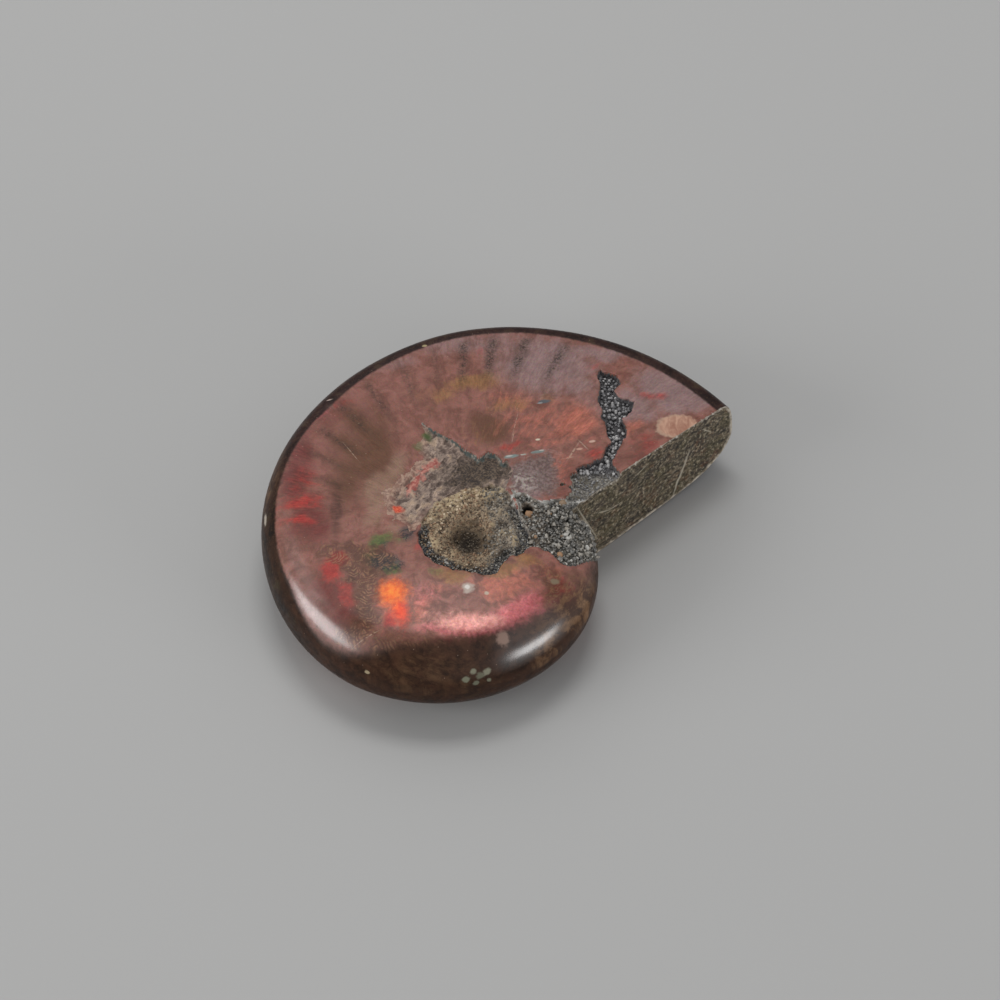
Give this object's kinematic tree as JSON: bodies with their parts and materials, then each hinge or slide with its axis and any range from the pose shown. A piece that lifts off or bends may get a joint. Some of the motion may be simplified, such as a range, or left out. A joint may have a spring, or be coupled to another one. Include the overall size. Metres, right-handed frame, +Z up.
{
  "type": "polished ammonite fossil",
  "caption": "Polished red ammonite fossil: one flat coil with rounded rims, a matrix-filled umbilicus, a crystal-filled crack and a flat saw cut at its mouth.",
  "frame": {"origin": "middle of the base: the centre of the box on the surface that the fossil lies on", "axes": "+Z up through the thickness; +X towards the sawn mouth's lip, along the longest side; +Y to the far side"},
  "size_m": [0.0318, 0.0284, 0.0074],
  "materials": {
    "polished_shell": "polished red-brown ammonite shell with play of colour",
    "matrix_and_crystals": "rough sandy matrix and small calcite crystals"
  },
  "bodies": {
    "root": {"ammonite": "polished_shell"}
  },
  "joints": []
}
